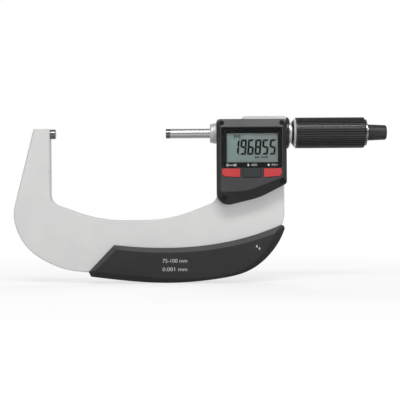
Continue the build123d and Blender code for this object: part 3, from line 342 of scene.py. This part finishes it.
# painted light on the grip pads: their upward bevels lighter
gripLook = dict(
    housingLook, colour=(0.016, 0.016, 0.017), shade=(0.019, 0.019, 0.020), dustAndPaintedTopLight=(0.05, 0.05, 0.05),
    roughness=0.50, grain=4200.0, relief=0.00003,
)
sleeveLook = dict(
    housingLook, colour=(0.016, 0.016, 0.017), shade=(0.020, 0.020, 0.021), roughness=0.34, edge=0.00012
)
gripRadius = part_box("thimble_grip")[1].z
ribLook = dict(
    sleeveLook, colour=(0.024, 0.024, 0.025), shade=(0.029, 0.029, 0.030), roughness=0.30,
    # painted shade between the ribs
    paintedGrooveShade=(0.001, 0.001, 0.001),
    root=gripRadius - 0.00036,  # where the painted shade in the groove is fullest
    tip=gripRadius - 0.00006,  # and where it is gone and the rib's own colour begins
)
lockLook = dict(sleeveLook, roughness=0.20, edge=0.0002)
knobLook = dict(sleeveLook, colour=(0.014, 0.014, 0.015), roughness=0.40, edge=0.0003)
redLook = {
    "colour": (0.44, 0.026, 0.028),
    "shade": (0.48, 0.032, 0.034),
    "fleck": (0.56, 0.065, 0.070),
    "roughness": 0.40,
    "grain": 3800.0,
    "relief": 0.00002,
    "edge": 0.00025,
}
greyKeyLook = dict(
    redLook, colour=(0.021, 0.024, 0.026), shade=(0.025, 0.028, 0.030), fleck=(0.040, 0.043, 0.046),
    roughness=0.45,
)
rubberLook = dict(
    housingLook, colour=(0.018, 0.018, 0.018), shade=(0.030, 0.029, 0.028), roughness=0.72, grain=2500.0
)
boardLook = {
    "colour": (0.010, 0.090, 0.035),
    "shade": (0.012, 0.110, 0.045),
    "fleck": (0.05, 0.24, 0.10),
    "roughness": 0.35,
    "tracks": 420.0,
    "relief": 0.00003,
    "edge": 0.0001,
}

finishes = {
    "paint": makePaint("satinEnamel", paintLook),
    "ground": makeTurned("groundSteel", groundLook),
    "carbide": makeTurned("lappedCarbide", carbideLook),
    "chrome": makeTurned("brightChrome", chromeLook),
    "satin": makeTurned("satinChrome", satinLook),
    "plated": makeTurned("mattePlating", platedLook),
    "barrel": makeTurned("barrelSatin", barrelLook),
    "blackened": makeTurned("blackenedSteel", blackenedLook),
    "bronze": makeTurned("bearingBronze", bronzeLook),
    "nickel": makeTurned("batteryNickel", nickelLook),
    "gold": makeTurned("contactGold", goldLook),
    "housing": makeMoulded("housingBlack", housingLook),
    "cover": makeMoulded("coverBlack", coverLook),
    "grip": makeMoulded("gripBlack", gripLook),
    "ribs": makeMoulded("ribbedSleeve", ribLook),
    "sleeve": makeMoulded("sleeveBlack", sleeveLook),
    "lockBlack": makeMoulded("lockBlack", lockLook),
    "knob": makeMoulded("knobBlack", knobLook),
    "red": makeMoulded("keyRed", redLook),
    "greyKey": makeMoulded("keyGrey", greyKeyLook),
    "rubber": makeMoulded("sealRubber", rubberLook),
    "board": makeBoard("boardGreen", boardLook),
}


def makeMask(name, look):  # glossy black print behind the window
    material, net = newFinish(name)
    dustAndPaintedTopLight = net.blotches(net.place(), look["grain"], 0.0, 1.0)
    net.close(
        net.surface(
            Base_Color=net.mix(dustAndPaintedTopLight * 0.2, look["colour"], look["fleck"]),
            Roughness=look["roughness"] + dustAndPaintedTopLight * 0.05,
            Normal=net.bump(dustAndPaintedTopLight, look["relief"], 0.3),
        )
    )
    return material


def makeWindow(name, look):  # clear acrylic: nearly all of it is see-through
    material, net = newFinish(name)
    smear = net.blotches(net.place(), look["grain"], 0.0, 1.0)
    net.close(
        net.surface(
            Base_Color=net.mix(smear, look["colour"], look["shade"]),
            Roughness=look["roughness"] + smear * 0.04,
            Alpha=look["alpha"] + smear * 0.02,
            Normal=net.bump(smear, look["relief"], 0.2),
        )
    )
    return material


def makeLcd(name, node, look):  # grey-green glass, greener on the left, with a fine grain
    material, net = newFinish(name)
    low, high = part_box(node)
    here = net.place()
    across = (net.split(here, 0) - low.x) / (high.x - low.x)
    grain = net.noise(here, look["grain"], 2.0)
    cloud = net.blotches(here, look["clouds"], 0.0, 1.0)
    colour = net.mix(across, look["left"], look["right"])
    colour = net.mix(cloud * 0.25, colour, look["shade"])
    net.close(
        net.surface(
            Base_Color=net.mix(grain * 0.14, colour, look["fleck"]),
            Roughness=look["roughness"] + grain * 0.05,
            Normal=net.bump(grain, look["relief"], 0.3),
        )
    )
    return material


maskLook = {
    "colour": (0.006, 0.006, 0.007),
    "fleck": (0.012, 0.012, 0.014),
    "roughness": 0.12,
    "grain": 1400.0,
    "relief": 0.000004,
}
windowLook = {
    "colour": (0.020, 0.022, 0.023),
    "shade": (0.026, 0.028, 0.029),
    "roughness": 0.05,
    "alpha": 0.10,
    "grain": 160.0,
    "relief": 0.00001,
}
lcdLook = {
    "left": (0.238, 0.350, 0.328),
    "right": (0.268, 0.302, 0.296),
    "shade": (0.265, 0.330, 0.315),
    "fleck": (0.32, 0.34, 0.33),
    "roughness": 0.50,
    "clouds": 70.0,
    "grain": 5200.0,
    "relief": 0.000006,
}
finishes["mask"] = makeMask("windowPrint", maskLook)
finishes["window"] = makeWindow("windowAcrylic", windowLook)
finishes["lcd"] = makeLcd("lcdGlass", "lcd_panel", lcdLook)

worn = {  # finish of every CAD piece
    "paint": ["frame"],
    "carbide": ["anvil", "anvil_tip", "spindle_tip"],
    "ground": [
        "spindle", "adjusting_nut", "lock_collet", "thimble_sleeve", "thimble_hub",
        "ratchet_pawl", "ratchet_spring",
    ],
    "chrome": ["thimble_end_ring", "lock_ring_band"],
    "satin": ["spindle_nose"],
    "plated": ["thimble_front_ring"],
    "barrel": ["barrel"],
    "blackened": ["cover_screws", "board_screws", "grip_pad_screws", "rear_cover_screws", "ratchet_stem"],
    "bronze": ["spindle_bush", "spindle_nut", "encoder_flex"],
    "nickel": ["battery"],
    "gold": ["battery_contacts"],
    "housing": [
        "housing_rear_shell", "battery_holder", "rear_cover", "board_chip", "battery_lid",
    ],
    "cover": ["housing_front_cover"],
    "grip": ["front_grip_pad", "rear_grip_pad"],
    "ribs": ["thimble_grip"],
    "sleeve": ["thimble_front_cone"],
    "lockBlack": ["lock_ring"],
    "knob": ["ratchet_knob", "ratchet_cap"],
    "red": ["button_left", "button_right"],
    "greyKey": ["button_centre"],
    "rubber": ["nose_wiper", "housing_gasket", "lcd_strips", "button_mat", "battery_lid_seal"],
    "board": ["circuit_board", "encoder_stator", "encoder_rotor"],
    "mask": ["display_mask"],
    "window": ["display_window"],
    "lcd": ["lcd_panel"],
}
for finish, names in worn.items():
    for name in names:
        nodes[name].data.materials.clear()
        nodes[name].data.materials.append(finishes[finish])
print("finishes on", sum(len(names) for names in worn.values()), "pieces")


# ---- flat printed marks: outlines in x and z, a hair thick
def placePiece(name, data, finish):
    data.materials.clear()
    data.materials.append(finish)
    piece = bpy.data.objects.new(name, data)
    bpy.context.scene.collection.objects.link(piece)
    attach(piece, "frame_and_housing")


def printMark(name, outlines, depth, thickness, finish):
    mesh = bmesh.new()
    for outline in outlines:
        face = mesh.faces.new([mesh.verts.new((x, -depth, z)) for x, z in outline])
        raised = bmesh.ops.extrude_face_region(mesh, geom=[face])
        moved = [item for item in raised["geom"] if isinstance(item, bmesh.types.BMVert)]
        bmesh.ops.translate(mesh, verts=moved, vec=(0.0, -thickness, 0.0))
    bmesh.ops.recalc_face_normals(mesh, faces=mesh.faces)
    data = bpy.data.meshes.new(name)
    mesh.to_mesh(data)
    mesh.free()
    placePiece(name, data, finish)


# words squeezed to a width; weight fattens the strokes
def printText(name, words, centre, height, depth, thickness, finish, width, weight=0.0):
    curve = bpy.data.curves.new(name + "Words", "FONT")
    curve.body = words
    curve.size = height * 1.38  # the font's capitals stand lower than its size
    curve.extrude = thickness / 2
    curve.offset = weight
    curve.align_x = "CENTER"
    curve.align_y = "CENTER"
    source = bpy.data.objects.new(name + "Source", curve)
    bpy.context.scene.collection.objects.link(source)
    bpy.context.view_layer.update()
    graph = bpy.context.evaluated_depsgraph_get()
    data = bpy.data.meshes.new_from_object(source.evaluated_get(graph))
    bpy.data.objects.remove(source)
    acrosses = [vertex.co.x for vertex in data.vertices]
    squeeze = width / (max(acrosses) - min(acrosses))
    data.transform(
        Matrix.Translation((centre[0], -depth - thickness / 2, centre[1]))
        @ Matrix.Rotation(math.radians(90), 4, "X")
        @ Matrix.Diagonal((squeeze, 1.0, 1.0, 1.0))
    )
    data.name = name
    placePiece(name, data, finish)


def makeInk(name, colour, shade, roughness, gloss):
    material, net = newFinish(name)
    wear = net.blotches(net.place(), 2200.0, 0.0, 1.0)
    net.close(
        net.surface(
            Base_Color=net.mix(wear * 0.5, colour, shade),
            Roughness=roughness + wear * 0.08,
            Specular_IOR_Level=gloss,
            Normal=net.bump(wear, 0.000005, 0.3),
        )
    )
    return material


lcdInk = makeInk("lcdInk", (0.002, 0.004, 0.0035), (0.005, 0.008, 0.007), 0.45, 0.1)
whiteInk = makeInk("whiteInk", (0.52, 0.52, 0.52), (0.40, 0.40, 0.40), 0.5, 0.5)

# seven-segment reading
reading = {
    "digits": "196855",
    "left": 0.0047,  # of the first figure's box, from the glass's left edge
    "pitch": 0.00488,
    "width": 0.00425,
    "height": 0.0103,
    "bar": 0.00136,
    "inset": 0.00012,
    "gap": 0.00006,
    "slant": 0.080,
    "top": 0.0051,  # below the glass's top edge
    "point": 0.0006,  # side of the decimal point
    "pointShift": -0.0007,  # from the second figure's box
    "thickness": 0.00004,
}
segmentsOf = {"1": "bc", "9": "abcdfg", "6": "acdefg", "8": "abcdefg", "5": "acdfg"}


def segmentOutlines(figure, left, low, look):
    wide, tall, bar, gap, inset = (look[key] for key in ("width", "height", "bar", "gap", "inset"))
    half, middle = bar / 2, tall / 2
    for segment in segmentsOf[figure]:
        if segment == "g":
            outline = [
                (half + gap, middle), (bar + gap, middle + half), (wide - bar - gap, middle + half),
                (wide - half - gap, middle), (wide - bar - gap, middle - half), (bar + gap, middle - half),
            ]
        elif segment in "ad":
            outline = [
                (inset + gap, tall), (wide - inset - gap, tall),
                (wide - bar - gap, tall - bar), (bar + gap, tall - bar),
            ]
        else:
            outline = [
                (0.0, middle + gap), (0.0, tall - inset - gap), (bar, tall - bar - gap),
                (bar, middle + half + gap), (half, middle + gap),
            ]
        if segment in "dec":  # the lower half mirrors the upper one
            outline = [(x, tall - z) for x, z in outline]
        if segment in "bc":  # and the right side the left one
            outline = [(wide - x, z) for x, z in outline]
        yield [(left + x + z * look["slant"], low + z) for x, z in outline]


lcdLow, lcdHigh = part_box("lcd_panel")
lcdDepth = -lcdLow.y
figureLow = lcdHigh.z - reading["top"] - reading["height"]
figures = []
for place, figure in enumerate(reading["digits"]):
    left = lcdLow.x + reading["left"] + place * reading["pitch"]
    figures += segmentOutlines(figure, left, figureLow, reading)
pointLeft = lcdLow.x + reading["left"] + reading["pitch"] + reading["pointShift"]
pointRight = pointLeft + reading["point"]
pointHigh = figureLow + reading["point"]
figures.append(
    [(pointLeft, figureLow), (pointRight, figureLow), (pointRight, pointHigh), (pointLeft, pointHigh)]
)
printMark("lcd_reading", figures, lcdDepth, reading["thickness"], lcdInk)

# small words on the glass: text, middle in x and z, height, width
wordsWeight = 0.00005  # fatter strokes, as liquid crystal shows them
wordsLow = figureLow - 0.0015
lcdWords = {
    "lcd_unit": ("inch", (lcdLow.x + 0.0262, wordsLow), 0.0018, 0.0044),
    "lcd_state": ("set", (lcdLow.x + 0.0212, wordsLow), 0.0018, 0.0032),
    "lcd_mode": ("[H]", (lcdLow.x + 0.0080, lcdHigh.z - 0.0031), 0.0020, 0.0042),
}
for name, (words, centre, height, wide) in lcdWords.items():
    printText(
        name, words, centre, height, lcdDepth, reading["thickness"], lcdInk, wide, wordsWeight
    )

# white marks over the keys, printed on the front of the window
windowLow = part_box("display_window")[0]
keyMarks = {
    "rise": 0.0018,  # above the window's lower edge
    "thickness": 0.00002,
    "ring": (-0.0022, 0.00085, 0.0005),  # shift from the key's middle, outer and inner radius
    "bars": (0.0026, 0.0021, 0.00030, 0.00055),  # shift, width, height, pitch
    "diamond": (-0.0024, 0.0008, 0.0010),  # shift, half width, half height
    "square": (-0.0027, 0.0013),  # shift, side
    "wordHeight": 0.0015,
}
markDepth = -windowLow.y
markZ = windowLow.z + keyMarks["rise"]


def ringOutlines(x, z, outer, inner, steps=20):
    turns = [2 * math.pi * step / steps for step in range(steps)]
    outside = [(x + outer * math.cos(turn), z + outer * math.sin(turn)) for turn in turns]
    inside = [(x + inner * math.cos(turn), z + inner * math.sin(turn)) for turn in turns]
    quads = []
    for step in range(steps):
        after = (step + 1) % steps
        quads.append([outside[step], outside[after], inside[after], inside[step]])
    return quads


def barOutline(x, z, wide, tall):
    left, right = x - wide / 2, x + wide / 2
    low, high = z - tall / 2, z + tall / 2
    return [(left, low), (right, low), (right, high), (left, high)]


keyBoxes = [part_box(name) for name in ("button_left", "button_centre", "button_right")]
leftKey, centreKey, rightKey = [(low.x + high.x) / 2 for low, high in keyBoxes]

shift, outer, inner = keyMarks["ring"]
powerMarks = ringOutlines(leftKey + shift, markZ, outer, inner)
shift, wide, tall, pitch = keyMarks["bars"]
for row in (-1, 0, 1):
    powerMarks.append(barOutline(leftKey + shift, markZ + row * pitch, wide, tall))
shift, across, up = keyMarks["diamond"]
middle = centreKey + shift
diamond = [(middle - across, markZ), (middle, markZ - up), (middle + across, markZ), (middle, markZ + up)]
shift, side = keyMarks["square"]
square = barOutline(rightKey + shift, markZ, side, side)
keyShapes = {"mark_power": powerMarks, "mark_diamond": [diamond], "mark_square": [square]}
for name, outlines in keyShapes.items():
    printMark(name, outlines, markDepth, keyMarks["thickness"], whiteInk)

keyWords = {  # text, middle in x, width
    "mark_on": ("on", leftKey, 0.0022),
    "mark_abs": ("ABS", centreKey + 0.0014, 0.0040),
    "mark_menu": ("M>", rightKey + 0.0014, 0.0040),
}
for name, (words, middle, wide) in keyWords.items():
    printText(
        name, words, (middle, markZ), keyMarks["wordHeight"], markDepth, keyMarks["thickness"],
        whiteInk, wide,
    )

# grip pad: range, step and two drops; text, middle in x and z, height, width
padDepth = -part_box("front_grip_pad")[0].y
padThickness = 0.00003
padWords = {
    "grip_range": ("75-100 mm", (0.0808, -0.0861), 0.0026, 0.0165),
    "grip_step": ("0.001 mm", (0.0808, -0.0918), 0.0026, 0.0165),
}
for name, (words, centre, height, wide) in padWords.items():
    printText(name, words, centre, height, padDepth, padThickness, whiteInk, wide)
dropPlaces = [(0.1360, -0.0766), (0.1377, -0.0781)]
drop = [
    (0.0, 0.0012), (-0.0006, 0.0001), (-0.0005, -0.0005),
    (0.0, -0.0008), (0.0005, -0.0005), (0.0006, 0.0001),
]
drops = [[(left + x, low + z) for x, z in drop] for left, low in dropPlaces]
printMark("grip_drops", drops, padDepth, padThickness, whiteInk)
print("marks printed")

# ---- floor, world and lamps
floorLook = {
    "size": 6.0,  # half its side
    "drop": 0.0002,  # below the lowest point
    "tone": (0.93, 0.93, 0.93),
    "white": (1.0, 1.0, 1.0),  # what the camera sees
    "near": 0.10,  # the shadow's share starts to fade here
    "far": 0.42,  # and is smallest from here on
    "shareNear": 0.64,  # of white over the shadowed floor
    "shareFar": 1.0,
    "mirrored": [  # greys that metal shows of it, front to back, a metre in all
        (0.0, 0.45), (0.30, 0.80), (0.39, 0.55), (0.45, 0.30), (0.50, 0.28), (0.55, 0.45), (0.66, 0.70),
    ],
}
floorMesh = bpy.data.meshes.new("floor")
reach = floorLook["size"]
floorMesh.from_pydata(
    [(-reach, -reach, 0), (reach, -reach, 0), (reach, reach, 0), (-reach, reach, 0)], [], [(0, 1, 2, 3)]
)
floor = bpy.data.objects.new("floor", floorMesh)
floor.location = ((cadLow.x + cadHigh.x) / 2, 0.0, cadLow.z - floorLook["drop"])
bpy.context.scene.collection.objects.link(floor)
material, net = newFinish("paleFloor")
fade = net.add(
    "ShaderNodeMapRange",
    {"interpolation_type": "SMOOTHSTEP"},
    {"Value": net.longest(net.place()), 1: floorLook["near"], 2: floorLook["far"], 3: 0.0, 4: 1.0},
)
paper = net.add("ShaderNodeBsdfDiffuse", None, {"Color": floorLook["tone"]})
across = net.split(net.place(), 1)
mirrored = net.add("ShaderNodeValToRGB", {"stops": floorLook["mirrored"]}, {0: across + 0.5})
glossy = net.ray("Is Glossy Ray")
glow = net.add(
    "ShaderNodeEmission",
    None,
    {"Color": net.mix(glossy, floorLook["white"], mirrored), "Strength": 1.0},
)
shown = net.either(net.ray("Is Camera Ray"), net.ray("Is Transmission Ray"))
rise = floorLook["shareFar"] - floorLook["shareNear"]
share = net.either(glossy, shown * (floorLook["shareNear"] + fade * rise))
net.close(net.add("ShaderNodeMixShader", None, {0: share, 1: paper, 2: glow}))
floorMesh.materials.append(material)

worldLook = {
    "ambient": (0.40, 0.40, 0.405),  # what lights the piece
    "white": (1.0, 1.0, 1.0),  # what the camera sees
    "sky": [  # greys that metal shows of it, from below, past the front, to overhead and behind
        (0.0, 0.70), (0.16, 0.50), (0.27, 0.34), (0.36, 0.36), (0.43, 0.60), (0.49, 0.30),
        (0.53, 0.30), (0.57, 0.75), (0.61, 1.00), (0.64, 0.90), (0.68, 0.28), (0.85, 0.35), (1.0, 0.70),
    ],
    "sides": 0.8,  # less of it from the left and right
}
world = bpy.data.worlds.new("studio")
bpy.context.scene.world = world
world.use_nodes = True
net = Net(world.node_tree)
direction = net.add("ShaderNodeTexCoord", output="Generated")
forward = 0.0 - net.split(direction, 1)
climb = forward.calc("ARCTAN2", net.split(direction, 2), forward)
turn = climb * (0.5 / math.pi) + 0.5  # 0 to 1 round the measuring line
sky = net.add("ShaderNodeValToRGB", {"stops": worldLook["sky"]}, {0: turn})
aside = net.split(direction, 0)
sides = 1.0 - aside * aside * worldLook["sides"]
mirrored = net.mix(sides, (0.0, 0.0, 0.0), sky)
unseen = net.mix(net.ray("Is Glossy Ray"), worldLook["ambient"], mirrored)
shown = net.either(net.ray("Is Camera Ray"), net.ray("Is Transmission Ray"))
colour = net.mix(shown, unseen, worldLook["white"])
backdrop = net.add("ShaderNodeBackground", None, {"Color": colour, "Strength": 1.0})
net.add("ShaderNodeOutputWorld", None, {"Surface": backdrop})

lamps = {  # place, width, height, watts
    "keyLamp": ((0.10, -0.75, 0.85), 0.90, 0.32, 7.2),
    "fillLamp": ((0.60, -1.20, -0.02), 0.90, 0.50, 6.0),
    "rimLamp": ((0.10, 0.70, 0.75), 0.90, 0.40, 3.0),
}
middle = (cadLow + cadHigh) / 2
for name, (place, wide, tall, power) in lamps.items():
    data = bpy.data.lights.new(name, "AREA")
    data.shape = "RECTANGLE"
    data.size = wide
    data.size_y = tall
    data.energy = power
    lamp = bpy.data.objects.new(name, data)
    lamp.location = place
    lamp.rotation_euler = (middle - Vector(place)).to_track_quat("-Z", "Y").to_euler()
    lamp.visible_glossy = name == "keyLamp"  # the others leave no streak on metal
    bpy.context.scene.collection.objects.link(lamp)
print("stage set")
